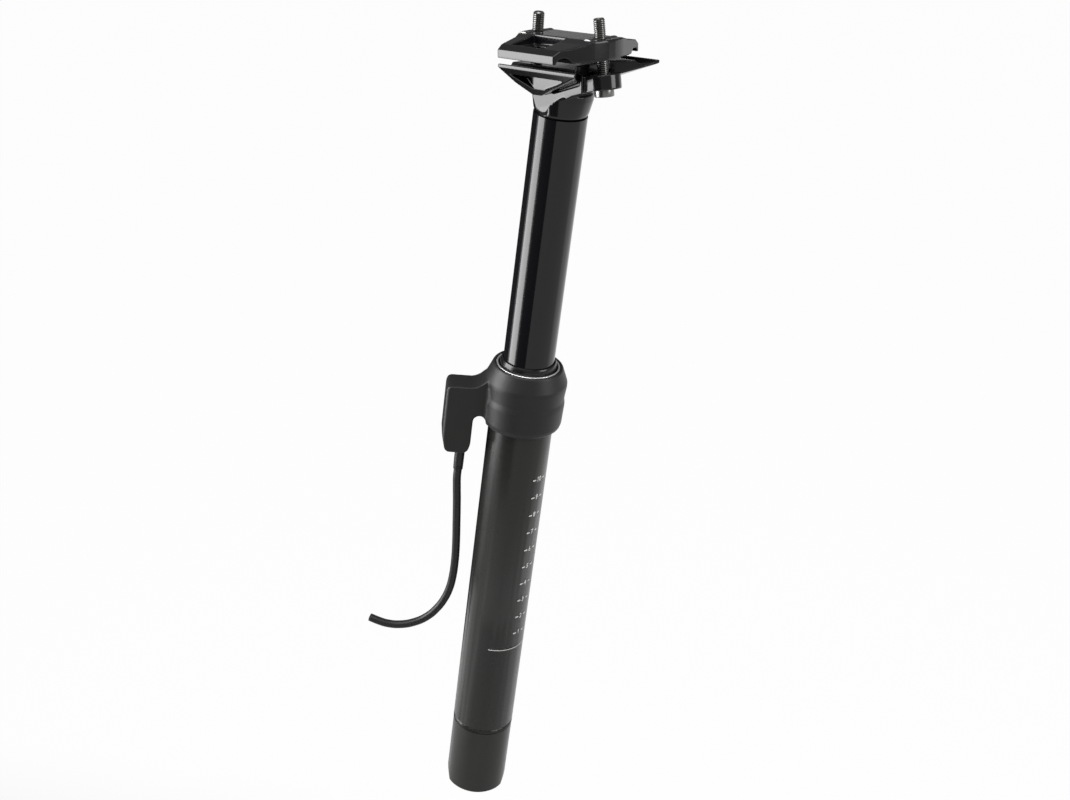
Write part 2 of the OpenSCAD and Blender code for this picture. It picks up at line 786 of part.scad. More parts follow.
// Lower half of the rail clamp: two keeled wings on a curved foot
module lower_clamp() {
    half = clamp_w / 2;
    rim = cradle_top - rim_h;
    inner = head_w / 2 + 0.7;
    color(gloss_black) in_head() difference() {
        union() {
            // Wings, sloping in from the rims to the keel on three sides
            intersection() {
                slab(clamp_w + over) polygon([
                    [cradle_front, cradle_top], [cradle_front, rim], [keel_front + 4.1, keel_z / 2],
                    [keel_front, keel_z], [keel_rear, keel_z],
                    [-cradle_rear, rim], [-cradle_rear, cradle_top]
                ]);
                rotate([90, 0, 90]) linear_extrude(4 * cradle_rear, center = true) polygon([
                    [half, cradle_top], [half, rim], [keel_y, keel_z], [inner, keel_z],
                    [inner, rim - 2], [-inner, rim - 2], [-inner, keel_z],
                    [-keel_y, keel_z], [-half, rim], [-half, cradle_top]
                ]);
                translate([0, 0, keel_z - over]) linear_extrude(cradle_top - keel_z + over) cradle_plan();
            }
            // Foot on the curved seat
            intersection() {
                translate([0, 0, tilt_z]) cross_rod(seat_r, foot_w);
                translate([-waist_x, -head_w, keel_z - over])
                    cube([2 * waist_x, 2 * head_w, cradle_top - keel_z + over]);
            }
        }
        rail_cuts();
        // Hollows under the rims
        for (side = [-1, 1]) translate([0, side * (keel_y + 4 + 10), 0]) slab(20)
            polygon([[cradle_front - 3.4, rim - 3], [6, -7.6], [1.6, -8.6], [-cradle_rear + 10, rim - 3]]);
    }
}

// Plan of the upper plate: a blunt point at the front bolt, and one round sweep at the rear bolt
module plate_plan() {
    end = plate_len / 2;
    nose = nut_len / 2 + 0.2;
    bulge = bolt_x + nut_r + 1.2;
    left = [
        [bulge, nose - 5], [bulge - 1.6, nose - 2], [end + 2.6, nose + 4.5], [end, clamp_w / 2],
        [-end, clamp_w / 2], [-bulge + 0.5, nose], [-bulge - 0.2, nose - 2.1], [-bulge - 0.75, nose - 4.3],
        [-bulge - 1.1, nose - 6.5]
    ];
    polygon(concat(left, [for (i = [len(left) - 1 : -1 : 0]) [left[i].x, -left[i].y]]));
}

// Upper half of the rail clamp, bored for the barrel nuts, with a stepped pocket on each side
module upper_clamp() {
    half = clamp_w / 2;
    color(gloss_black) in_head() difference() {
        intersection() {
            rotate([90, 0, 90]) linear_extrude(4 * cradle_rear, center = true) polygon([
                [half, plate_foot], [half, plate_edge], [half - 3, plate_edge + 1.9],
                [nut_len / 2 + 4.5, plate_top - 1.2], [nut_len / 2, plate_top], [-nut_len / 2, plate_top],
                [-nut_len / 2 - 4.5, plate_top - 1.2], [-half + 3, plate_edge + 1.9], [-half, plate_edge],
                [-half, plate_foot]
            ]);
            translate([0, 0, plate_foot - over]) linear_extrude(plate_top + 2 * over) plate_plan();
        }
        rail_cuts();
        for (side = [-1, 1]) {
            translate([side * bolt_x, 0, nut_z]) cross_rod(nut_r + free, nut_len + 2 * free);
            // Slot that lets the plate tilt round the bolt
            translate([side * (bolt_x + 0.4), 0, plate_foot]) {
                for (dx = [-1, 1]) translate([dx, 0, -over]) cylinder(r = bolt_r + 0.4, h = nut_z);
                translate([-1, -bolt_r - 0.4, -over]) cube([2, 2 * bolt_r + 0.8, nut_z]);
            }
            // Pocket with a window through its floor
            translate([2.7, side * 15.5, 0]) {
                translate([-9.5, -7, plate_edge + 0.6]) cube([19, 14, plate_top]);
                translate([-6.5, -4.6, plate_foot - over]) cube([13, 7.6, plate_top]);
            }
        }
    }
}

// Cross-drilled nut that lies in the upper plate
module barrel_nut(side) {
    color(dark_steel) on_bolt(side) difference() {
        cross_rod(nut_r, nut_len);
        rod(bolt_r + run, -2 * nut_r, 2 * nut_r);
    }
}

module front_barrel_nut() {
    barrel_nut(1);
}

module rear_barrel_nut() {
    barrel_nut(-1);
}

// Lever in the collar: the wire pulls its outer end down and its inner end lifts the release rod
module release_lever() {
    tip = pull_at - pivot_rho - 0.75;
    reach = cable_rho - pivot_rho;
    color(bright_steel) towards_box() translate([pivot_rho, 0, pivot_z]) difference() {
        union() {
            cross_rod(2.6, lever_w);
            translate([reach, 0, 0]) cross_rod(2.6, lever_w);
            slab(lever_w) polygon([
                [tip, 0.8], [-1, 2], [reach, 2], [reach, -2], [-1, -2], [tip, -0.8]
            ]);
        }
        cross_rod(pivot_r + run, 2 * lever_w);
        translate([reach, 0, 0]) cross_rod(nipple_r + free, 2 * lever_w);
        translate([reach - 1.3, -wire_r - free, -4]) cube([3.4, 2 * (wire_r + free), 4]);
        translate([tip - over, -pull_d / 2 - 0.2, -2]) cube([over + 1.5, pull_d + 0.4, 4]);
    }
}

// Inner wire of the cable
module cable_wire() {
    color(bright_steel) towards_box() translate([cable_rho, 0, 0])
        rod(wire_r, ferrule_foot + 2.6, pivot_z - nipple_r + 0.4);
}

// Barrel at the wire's end, in the lever
module cable_nipple() {
    color(brass) towards_box() translate([cable_rho, 0, pivot_z]) difference() {
        cross_rod(nipple_r, lever_w);
        rod(wire_r + seat, -2 * nipple_r, -nipple_r + 0.45);
    }
}

// Thin rod from the lever to the rocker, with a bead at each end
module release_rod() {
    color(bright_steel) towards_box() translate([pull_at, 0, 0]) {
        rod(pull_d / 2, rocker_top - rocker_h - free - bead_r, pivot_z + 0.8 + free + bead_r);
        translate([0, 0, pivot_z + 0.8 + free + bead_r]) sphere(r = bead_r);
        translate([0, 0, rocker_top - rocker_h - free - bead_r]) sphere(r = bead_r);
    }
}

// Rocker under the piston rod: the release rod lifts its free end and its middle lifts the valve pin
module valve_rocker() {
    mid = rocker_top - rocker_h / 2;
    end = pull_at + 0.6;
    color(bright_steel) towards_box() difference() {
        union() {
            translate([rocker_pivot, 0, mid]) cross_rod(rocker_h / 2 + 0.2, rocker_w);
            slab(rocker_w) polygon([
                [rocker_pivot, rocker_top], [2, rocker_top], [end, rocker_top - rocker_h + 1.4],
                [end, rocker_top - rocker_h], [rocker_pivot, rocker_top - rocker_h]
            ]);
        }
        translate([rocker_pivot, 0, mid]) cross_rod(pivot_r + run, 2 * rocker_w);
        translate([pull_at - 0.9, -pull_d / 2 - 0.2, rocker_top - 2 * rocker_h])
            cube([4, pull_d + 0.4, 3 * rocker_h]);
    }
}

// Needle in the hollow rod that opens the valve in the piston
module valve_pin() {
    color(bright_steel) rod(valve_r, rocker_top + 0.1, piston_z + piston_h);
}

outer_tube();
bottom_cap();
cap_o_ring();
actuator_collar();
box_cover();
cover_screw();
wiper_seal();
retaining_ring();
upper_bushing();
cable_ferrule();
cable();
lever_pin();
return_spring();
foot_block();
rocker_pin();
piston_rod();
main_piston();
piston_seal();
rod_nut();
stanchion();
seat_head();
lower_bushing();
guide_keys();
stanchion_end_nut();
cartridge_tube();
cartridge_gland();
rod_seal();
cartridge_plug();
clamp_bolts();
bolt_washers();
floating_piston();
floating_seal();
lower_clamp();
upper_clamp();
front_barrel_nut();
rear_barrel_nut();
release_lever();
cable_wire();
cable_nipple();
release_rod();
valve_rocker();
valve_pin();
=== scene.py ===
"""Dresses a packed dropper seatpost: tubes, cast collar, forged head, rail clamp, threaded bolts,
printed depth scale, cable and a pale studio."""

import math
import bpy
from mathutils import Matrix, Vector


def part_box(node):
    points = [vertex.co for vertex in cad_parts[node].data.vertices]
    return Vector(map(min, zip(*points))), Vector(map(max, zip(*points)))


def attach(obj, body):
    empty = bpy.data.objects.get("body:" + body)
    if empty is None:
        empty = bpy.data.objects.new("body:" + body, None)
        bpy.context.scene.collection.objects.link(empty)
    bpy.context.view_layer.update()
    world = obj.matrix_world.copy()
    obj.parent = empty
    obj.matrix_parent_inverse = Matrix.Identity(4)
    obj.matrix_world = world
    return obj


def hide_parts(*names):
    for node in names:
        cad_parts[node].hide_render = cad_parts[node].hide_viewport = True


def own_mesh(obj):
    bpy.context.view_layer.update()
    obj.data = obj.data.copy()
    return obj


bl_info = {
    "name": "Dropper Seatpost",
    "version": (1, 0, 0),
    "blender": (4, 5, 0),
    "location": "View3D > Sidebar > Seatpost",
    "description": "Models the visible pieces of a dropper seatpost around its packed frame",
    "category": "Object",
}

import bpy
from mathutils import Matrix, Vector

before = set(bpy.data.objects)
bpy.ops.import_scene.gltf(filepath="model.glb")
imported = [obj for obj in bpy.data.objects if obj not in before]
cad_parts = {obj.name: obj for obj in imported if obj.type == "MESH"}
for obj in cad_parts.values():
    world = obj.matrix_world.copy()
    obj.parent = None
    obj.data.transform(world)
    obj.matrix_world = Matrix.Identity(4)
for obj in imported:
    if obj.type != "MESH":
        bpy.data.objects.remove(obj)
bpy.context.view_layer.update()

MM = 0.001

# Distances in metres within which points are merged: on a new piece, and between a solid's triangles
MERGE = 1e-7
SOLID_MERGE = 2e-6

# Angle below which two faces of a solid are one flat face, and angle above which an edge is rounded
FLAT_ANGLE = math.radians(0.4)
SHARP_ANGLE = math.radians(28)

# Radius in millimetres at which a turned profile meets its axis
AXIS = 0.01

# Direction from the post's axis to the cable box, and the casing's route as (reach, height) in millimetres
BOX_ANGLE = math.radians(49)
BOX_SIDE = (math.cos(BOX_ANGLE), math.sin(BOX_ANGLE))
CASING_ROUTE = (
    (27.6, -27.5), (27.6, -32.2), (27.1, -38.2), (26.5, -44.2), (25.9, -51.2), (25.3, -58.7), (24.7, -66.2),
    (24.2, -74.2), (24, -82.1), (24.2, -89.6), (25.1, -97.2), (27.2, -104.3), (30.5, -110.5), (35, -115.8),
    (41.2, -119.7), (48.2, -121.6), (54.7, -121.4), (59.7, -119.9), (63.7, -118.2),
)

# Camera of the photograph, in millimetres
EYE = (-462.9663, 513.0164, 370.8862)
EYE_RIGHT = (-0.7008, -0.7037, 0.1170)
EYE_UP = (0.4012, -0.2532, 0.8803)
EYE_FORWARD = (0.5898, -0.6639, -0.4597)
LENS = 55.006
SENSOR = 36

# Level direction from the camera to the far side of the studio
BEHIND = (0.664, -0.748, 0)

# Broad patches of a finish: how many to a metre, and their share in its change of tone
PATCH_SCALE = 70.0
PATCH_SHARE = 0.6


class PostSizes(bpy.types.PropertyGroup):
    """Sizes of the seatpost's visible pieces"""

    tube_radius: bpy.props.FloatProperty(
        name="Tube Radius", description="Radius of the outer tube that carries the printed scale",
        default=15.45 * MM, unit="LENGTH", precision=5)
    scale_angle: bpy.props.FloatProperty(
        name="Scale Side", description="Where the printed scale stands round the tube",
        default=math.radians(184.5), subtype="ANGLE")
    scale_first: bpy.props.FloatProperty(
        name="First Mark", description="Height of the lowest mark of the scale",
        default=-114.2 * MM, unit="LENGTH", precision=5)
    scale_step: bpy.props.FloatProperty(
        name="Mark Spacing", description="Distance from one mark of the scale to the next",
        default=10 * MM, unit="LENGTH", precision=5)
    figure_height: bpy.props.FloatProperty(
        name="Figure Height", description="Height of the scale's figures",
        default=2.7 * MM, unit="LENGTH", precision=5)
    line_height: bpy.props.FloatProperty(
        name="Depth Line", description="Height of the line that marks the least insertion",
        default=-123.5 * MM, unit="LENGTH", precision=5)
    casing_diameter: bpy.props.FloatProperty(
        name="Casing Diameter", description="Diameter of the cable's outer casing",
        default=4 * MM, unit="LENGTH", precision=5)
    casing_length: bpy.props.FloatProperty(
        name="Casing Length", description="Length of the casing from the ferrule to its cut end",
        default=0.1216, unit="LENGTH", precision=5)
    bolt_diameter: bpy.props.FloatProperty(
        name="Bolt Diameter", description="Thread diameter of the clamp bolts",
        default=5 * MM, unit="LENGTH", precision=5)
    bolt_pitch: bpy.props.FloatProperty(
        name="Bolt Pitch", description="Distance between two turns of the thread",
        default=0.8 * MM, unit="LENGTH", precision=5)


class PostFinishes(bpy.types.PropertyGroup):
    """Colours of the seatpost's finishes"""

    satin: bpy.props.FloatVectorProperty(
        name="Satin Black", description="Satin anodised outer tube",
        default=(0.019, 0.0187, 0.018), subtype="COLOR", min=0, max=1)
    cup: bpy.props.FloatVectorProperty(
        name="Cup Black", description="Satin anodised cup at the tube's foot",
        default=(0.027, 0.0266, 0.0258), subtype="COLOR", min=0, max=1)
    gloss: bpy.props.FloatVectorProperty(
        name="Gloss Black", description="Polished anodised stanchion, head and clamp",
        default=(0.006, 0.006, 0.007), subtype="COLOR", min=0, max=1)
    cast: bpy.props.FloatVectorProperty(
        name="Cast Black", description="Painted casting of the collar and the cable box",
        default=(0.013, 0.0129, 0.0125), subtype="COLOR", min=0, max=1)
    casing: bpy.props.FloatVectorProperty(
        name="Casing Black", description="Plastic of the cable casing and its ferrule",
        default=(0.013, 0.013, 0.014), subtype="COLOR", min=0, max=1)
    bolt: bpy.props.FloatVectorProperty(
        name="Bolt Steel", description="Dark steel of the bolts and barrel nuts",
        default=(0.22, 0.22, 0.216), subtype="COLOR", min=0, max=1)
    bright: bpy.props.FloatVectorProperty(
        name="Bright Steel", description="Steel of the pins, rods, spring and inner wire",
        default=(0.62, 0.62, 0.63), subtype="COLOR", min=0, max=1)
    ring: bpy.props.FloatVectorProperty(
        name="Ring Wire", description="Bright wire ring at the collar's mouth",
        default=(0.97, 0.97, 0.96), subtype="COLOR", min=0, max=1)
    seal: bpy.props.FloatVectorProperty(
        name="Seal Rubber", description="Lip seal and the seals inside",
        default=(0.008, 0.008, 0.009), subtype="COLOR", min=0, max=1)
    alloy: bpy.props.FloatVectorProperty(
        name="Bare Alloy", description="Alloy pieces inside the tubes",
        default=(0.42, 0.43, 0.45), subtype="COLOR", min=0, max=1)
    brass: bpy.props.FloatVectorProperty(
        name="Brass", description="Turned and cut brass pieces",
        default=(0.60, 0.42, 0.16), subtype="COLOR", min=0, max=1)
    nylon: bpy.props.FloatVectorProperty(
        name="Bearing Nylon", description="Bearings of the stanchion",
        default=(0.55, 0.54, 0.50), subtype="COLOR", min=0, max=1)
    print_white: bpy.props.FloatVectorProperty(
        name="Print White", description="Printed figures, dashes and line",
        default=(0.86, 0.86, 0.85), subtype="COLOR", min=0, max=1)


class Wire:
    """A shader socket that can stand in a Python expression"""

    def __init__(self, board, socket):
        self.board = board
        self.socket = socket

    def _math(self, operation, first, second):
        return self.board.add("ShaderNodeMath", {"operation": operation}, {0: first, 1: second})

    def __add__(self, other):
        return self._math("ADD", self, other)

    def __radd__(self, other):
        return self._math("ADD", other, self)

    def __mul__(self, other):
        return self._math("MULTIPLY", self, other)

    def __rmul__(self, other):
        return self._math("MULTIPLY", other, self)


class Board:
    """The node tree of one finish"""

    def __init__(self, tree):
        tree.nodes.clear()
        self.tree = tree

    def add(self, kind, settings=None, sockets=None, output=0):
        """Adds a node, with its settings first and then its sockets, and returns one output"""
        node = self.tree.nodes.new(kind)
        for name, value in (settings or {}).items():
            setattr(node, name, value)
        for key, value in (sockets or {}).items():
            if isinstance(value, Wire):
                self.tree.links.new(value.socket, node.inputs[key])
            else:
                node.inputs[key].default_value = value
        return Wire(self, node.outputs[output])

    def mix(self, share, first, second):
        """A colour between two others"""
        return self.add("ShaderNodeMix", {"data_type": "RGBA"}, {0: share, 6: first, 7: second}, 2)

    def close(self, shader, kind="ShaderNodeOutputMaterial"):
        """Links the last shader to the tree's output"""
        node = self.tree.nodes.new(kind)
        self.tree.links.new(shader.socket, node.inputs["Surface"])


def finish(name, colour, rough, metal=0.0, gloss=0.5, tint=0.18, span=0.06, grain=0.25, depth=0.0,
           stretch=(1, 1, 1)):
    """A finish with broad patches of tone, a fine grain in its gloss and a shallow relief: tint and span
    are the changes of its tone and roughness, grain and depth the grain's size and relief in millimetres"""
    kept = bpy.data.materials.get(name)
    if kept:
        return kept
    material = bpy.data.materials.new(name)
    material.use_nodes = True
    board = Board(material.node_tree)
    place = board.add("ShaderNodeTexCoord", output="Object")
    drawn = board.add("ShaderNodeMapping", {}, {"Vector": place, "Scale": stretch})
    fine = board.add("ShaderNodeTexNoise", {}, {"Vector": drawn, "Scale": 1 / (grain * MM), "Detail": 3.0})
    broad = board.add("ShaderNodeTexNoise", {}, {"Vector": drawn, "Scale": PATCH_SCALE, "Detail": 2.0})
    low = (*(c * (1 - tint) for c in colour), 1)
    high = (*(min(1, c * (1 + tint)) for c in colour), 1)
    tone = board.mix(broad * PATCH_SHARE + fine * (1 - PATCH_SHARE), low, high)
    # Both noises lie round one half, so the mean roughness is the given one
    sheen = rough - span * 0.75 + broad * span + fine * (span * 0.5)
    sockets = {"Base Color": tone, "Roughness": sheen, "Metallic": metal, "Specular IOR Level": gloss}
    if depth:
        sockets["Normal"] = board.add(
            "ShaderNodeBump", {}, {"Height": fine, "Distance": depth * MM, "Strength": 1.0})
    board.close(board.add("ShaderNodeBsdfPrincipled", {}, sockets))
    return material


def finishes():
    """The seatpost's finishes by name"""
    tone = bpy.context.scene.seatpost_finishes
    return {
        "satin": finish("satin_anodised", tone.satin, 0.28, gloss=0.4, span=0.07, grain=0.18, depth=0.0012),
        "cup": finish("satin_cup", tone.cup, 0.33, gloss=0.4, span=0.07, grain=0.18, depth=0.0012),
        "gloss": finish("gloss_anodised", tone.gloss, 0.10, gloss=0.5, span=0.03, grain=0.5,
                        stretch=(1, 1, 0.06)),
        "polish": finish("polished_forging", tone.gloss, 0.15, gloss=0.5, span=0.04, grain=0.6),
        "cast": finish("painted_casting", tone.cast, 0.46, gloss=0.42, span=0.08, grain=0.22, depth=0.004),
        "casing": finish("casing_plastic", tone.casing, 0.42, gloss=0.45, span=0.08, grain=0.3, depth=0.002),
        "bolt": finish("black_steel", tone.bolt, 0.28, metal=1.0, span=0.1, grain=0.12, depth=0.0015),
        "bright": finish("bright_steel", tone.bright, 0.18, metal=1.0, tint=0.08, span=0.06, grain=0.2),
        "ring": finish("bright_wire", tone.ring, 0.42, metal=1.0, tint=0.04, span=0.06, grain=0.2),
        "seal": finish("seal_rubber", tone.seal, 0.22, gloss=0.5, span=0.06, grain=0.4),
        "alloy": finish("bare_alloy", tone.alloy, 0.34, metal=1.0, tint=0.1, span=0.1, grain=0.15),
        "brass": finish("turned_brass", tone.brass, 0.28, metal=1.0, tint=0.1, span=0.08, grain=0.15),
        "nylon": finish("bearing_nylon", tone.nylon, 0.48, gloss=0.4, tint=0.06, span=0.08, grain=0.3),
        "print": finish("printed_white", tone.print_white, 0.55, gloss=0.3, tint=0.05, span=0.06, grain=0.1),
    }


def clear_selection():
    """Leaves edit mode and deselects everything"""
    if bpy.context.object and bpy.context.object.mode != "OBJECT":
        bpy.ops.object.mode_set(mode="OBJECT")
    bpy.ops.object.select_all(action="DESELECT")


def pick(*pieces):
    """Selects these pieces only, the first one active"""
    clear_selection()
    for piece in pieces:
        piece.select_set(True)
    bpy.context.view_layer.objects.active = pieces[0]


def edit_all(piece):
    """Opens a piece in edit mode with all of it selected"""
    pick(piece)
    bpy.ops.object.mode_set(mode="EDIT")
    bpy.ops.mesh.select_all(action="SELECT")


def leave_edit():
    """Back to object mode"""
    bpy.ops.object.mode_set(mode="OBJECT")


def shape_by(piece, kind, **settings):
    """Adds a modifier with these settings and applies it"""
    pick(piece)
    bpy.ops.object.modifier_add(type=kind)
    modifier = piece.modifiers[-1]
    for name, value in settings.items():
        setattr(modifier, name, value)
    bpy.ops.object.modifier_apply(modifier=modifier.name)


def smooth(piece, angle):
    """Smooth shading up to an angle in degrees"""
    pick(piece)
    bpy.ops.object.shade_smooth_by_angle(angle=math.radians(angle))


def tidy_mesh(piece):
    """Merges doubles and turns the faces outwards"""
    edit_all(piece)
    bpy.ops.mesh.remove_doubles(threshold=MERGE)
    bpy.ops.mesh.normals_make_consistent(inside=False)
    leave_edit()


def turned(name, profile, sides=128):
    """A lathe-turned piece: a ring drawn along a profile of (radius, height) in millimetres, then closed"""
    clear_selection()
    radius, height = profile[0]
    bpy.ops.mesh.primitive_circle_add(vertices=sides, radius=radius * MM, fill_type="NOTHING")
    piece = bpy.context.object
    piece.name = piece.data.name = name
    edit_all(piece)
    bpy.ops.transform.translate(value=(0, 0, height * MM))
    for (r0, z0), (r1, z1) in zip(profile, (*profile[1:], profile[0])):
        bpy.ops.mesh.extrude_edges_move(TRANSFORM_OT_translate={"value": (0, 0, (z1 - z0) * MM)})
        if r1 != r0:
            grow = r1 / r0
            bpy.ops.transform.resize(value=(grow, grow, 1), center_override=(0, 0, z1 * MM))
    leave_edit()
    tidy_mesh(piece)
    return piece


def from_solid(name, node):
    """A merged copy of a solid, with its flat faces whole"""
    piece = bpy.data.objects.new(name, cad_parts[node].data.copy())
    bpy.context.scene.collection.objects.link(piece)
    piece.data.materials.clear()
    pick(piece)
    if piece.data.has_custom_normals:
        bpy.ops.mesh.customdata_custom_splitnormals_clear()
    edit_all(piece)
    bpy.ops.mesh.remove_doubles(threshold=SOLID_MERGE)
    bpy.ops.mesh.dissolve_limited(angle_limit=FLAT_ANGLE)
    leave_edit()
    return piece


def soften(piece, width, segments):
    """Rounds the sharp edges of a piece by a width in millimetres"""
    shape_by(piece, "BEVEL", width=width * MM, segments=segments, limit_method="ANGLE",
             angle_limit=SHARP_ANGLE, use_clamp_overlap=True, harden_normals=False)
    smooth(piece, 40)
    shape_by(piece, "WEIGHTED_NORMAL", mode="FACE_AREA", weight=50, keep_sharp=True)


def forge(piece, voxel, passes, rounder=None, more=0, keep=0.5):
    """Rounds a piece all over, as a forging or a casting is, by smoothing an even mesh of a voxel's size in
    millimetres, and by more passes where rounder gives a point a weight, then keeps a share of its faces"""
    shape_by(piece, "REMESH", mode="VOXEL", voxel_size=voxel * MM, use_smooth_shade=True)
    shape_by(piece, "SMOOTH", factor=0.5, iterations=passes)
    if rounder:
        soft = piece.vertex_groups.new(name="soft")
        for vertex in piece.data.vertices:
            weight = rounder(vertex.co)
            if weight:
                soft.add((vertex.index,), weight, "REPLACE")
        shape_by(piece, "SMOOTH", factor=0.5, iterations=more, vertex_group=soft.name)
        piece.vertex_groups.clear()
    shape_by(piece, "DECIMATE", decimate_type="COLLAPSE", ratio=keep)
    smooth(piece, 50)


def place_by(piece, matrix):
    """Moves a piece and applies the move to its mesh"""
    pick(piece)
    piece.matrix_world = matrix
    bpy.ops.object.transform_apply(location=True, rotation=True, scale=True)


def copy_of(piece, name):
    """A copy with its own mesh"""
    other = bpy.data.objects.new(name, piece.data.copy())
    bpy.context.scene.collection.objects.link(other)
    return other


def drop(piece):
    """Removes a helper"""
    pick(piece)
    bpy.ops.object.delete()


def cut(piece, tool, operation="DIFFERENCE"):
    """Boolean with a helper, which is then removed"""
    shape_by(piece, "BOOLEAN", operation=operation, object=tool, solver="EXACT")
    drop(tool)


def under_box(reach, height):
    """Point in line with the cable box, by its distance from the post's axis and its height in millimetres"""
    return (reach * BOX_SIDE[0] * MM, reach * BOX_SIDE[1] * MM, height * MM)


def dress(piece, body, slot, material, *nodes):
    """Gives a piece its finish and its body, and hides the solids it stands for; the slot is not used"""
    piece.data.materials.clear()
    piece.data.materials.append(material)
    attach(piece, body)
    if nodes:
        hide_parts(*nodes)


class SEATPOST_OT_stage(bpy.types.Operator):
    """Camera of the photograph, floor, dark cards, world and lamps"""

    bl_idname = "seatpost.stage"
    bl_label = "Studio"

    # Floor, in metres: radius, height, and how far behind the post it has its palest tone
    floor_radius = 40
    floor_height = -0.62
    floor_turn = 0.45
    # Tone of the floor on the camera's side of the post: painted shade, grey instead of white, so that the
    # glossy tubes reflect a darker floor
    paper_near = (0.60, 0.60, 0.59, 1)
    paper_far = (1.0, 1.0, 1.0, 1)
    # Share of the floor's plain tone in what the camera, gloss and glass see, beside its light and shade
    paper_plain = 0.97

    # World: tone at the sides and behind, and the slants to BEHIND between which it turns
    sky_side = (0.30, 0.30, 0.30, 1)
    sky_behind = (0.15, 0.15, 0.15, 1)
    sky_turn = (0.45, 0.8)

    # Dark cards: side in degrees, then distance, width, lower and upper end in metres
    card_tone = (0.02, 0.02, 0.02, 1)
    card_rows = (
        ("left_flag", -8, 0.45, 0.58, -0.5, 0.2),
        ("middle_flag", 96, 0.6, 0.53, -0.6, 0.2),
    )

    # Lamps: side in degrees, then distance, height, height aimed at, width and length in metres, and watts
    lamp_rows = (
        ("high_softbox", 51, 0.42, 0.175, 0.175, 0.27, 0.25, 1.9),
        ("left_softbox", 50, 0.42, -0.065, -0.065, 0.25, 0.23, 1.3),
        ("low_strip", 46, 0.44, -0.245, -0.245, 0.30, 0.11, 0.2),
        ("right_fill", 200, 1.1, 0.6, 0, 0.6, 0.7, 6),
        ("top_softbox", 110, 0.35, 0.95, 0, 0.7, 0.7, 5),
    )

    def execute(self, context):
        scene = context.scene
        scene.view_settings.view_transform = "Standard"
        self.camera(scene)
        self.floor()
        self.flags()
        self.world(scene)
        self.lamps(scene)
        return {"FINISHED"}

    def camera(self, scene):
        """The photograph's pinhole camera"""
        data = bpy.data.cameras.new("photo_camera")
        data.sensor_fit = "HORIZONTAL"
        data.sensor_width = SENSOR
        data.lens = LENS
        data.clip_start = 0.01
        camera = bpy.data.objects.new("photo_camera", data)
        scene.collection.objects.link(camera)
        turn = Matrix((EYE_RIGHT, EYE_UP, [-c for c in EYE_FORWARD])).transposed().to_4x4()
        camera.matrix_world = Matrix.Translation(Vector(EYE) * MM) @ turn
        scene.camera = camera

    def far_share(self, board, coordinates, start, end):
        """How far a point or direction lies behind the post, from 0 at start to 1 at end"""
        place = board.add("ShaderNodeTexCoord", output=coordinates)
        behind = board.add(
            "ShaderNodeVectorMath", {"operation": "DOT_PRODUCT"}, {0: place, 1: BEHIND}, "Value")
        return board.add("ShaderNodeMapRange", {"interpolation_type": "SMOOTHSTEP"},
                         {"Value": behind, "From Min": start, "From Max": end})

    def showing_rays(self, board):
        """1 for a ray that shows the background: the camera's own, or one by way of gloss or glass"""
        seen, glossy, through = (
            board.add("ShaderNodeLightPath", output=name)
            for name in ("Is Camera Ray", "Is Glossy Ray", "Is Transmission Ray"))
        return board.add("ShaderNodeClamp", {}, {"Value": seen + glossy + through})

    def floor(self):
        """Pale paper floor, paler behind the post; its grey on the camera's side is painted shade that the
        glossy tubes reflect
        """
        clear_selection()
        bpy.ops.mesh.primitive_circle_add(vertices=96, radius=self.floor_radius, fill_type="NGON")
        floor = bpy.context.object
        floor.name = floor.data.name = "studio_floor"
        edit_all(floor)
        bpy.ops.transform.translate(value=(0, 0, self.floor_height))
        leave_edit()
        material = bpy.data.materials.new("studio_paper")
        material.use_nodes = True
        board = Board(material.node_tree)
        # Painted shade: the floor is grey on the camera's side of the post and turns white within floor_turn
        # behind it
        far = self.far_share(board, "Object", 0.0, self.floor_turn)
        paper = board.mix(far, self.paper_near, self.paper_far)
        matt = board.add("ShaderNodeBsdfDiffuse", {}, {"Color": paper})
        plain = board.add("ShaderNodeEmission", {}, {"Color": paper, "Strength": 1.0})
        share = self.showing_rays(board) * self.paper_plain
        board.close(board.add("ShaderNodeMixShader", {}, {0: share, 1: matt, 2: plain}))
        floor.data.materials.append(material)

    def flags(self):
        """Dark cards beside the lamps, seen only as dark bands in the glossy tubes"""
        material = bpy.data.materials.new("flag_cloth")
        material.use_nodes = True
        board = Board(material.node_tree)
        board.close(board.add("ShaderNodeBsdfDiffuse", {}, {"Color": self.card_tone}))
        for name, side, reach, wide, low, high in self.card_rows:
            clear_selection()
            bpy.ops.mesh.primitive_plane_add(size=1)
            flag = bpy.context.object
            flag.name = flag.data.name = name
            place_by(flag, Matrix.Rotation(math.radians(side), 4, "Z")
                     @ Matrix.Translation((reach, 0, (low + high) / 2))
                     @ Matrix.Rotation(math.radians(90), 4, "Y") @ Matrix.Diagonal((high - low, wide, 1, 1)))
            flag.data.materials.append(material)
            flag.visible_camera = flag.visible_diffuse = flag.visible_shadow = False

    def world(self, scene):
        """Even grey light from all round, darker behind the post"""
        world = bpy.data.worlds.new("studio_world")
        scene.world = world
        world.use_nodes = True
        board = Board(world.node_tree)
        tone = board.mix(self.far_share(board, "Generated", *self.sky_turn), self.sky_side, self.sky_behind)
        board.close(board.add("ShaderNodeBackground", {}, {"Color": tone, "Strength": 1.0}),
                    "ShaderNodeOutputWorld")

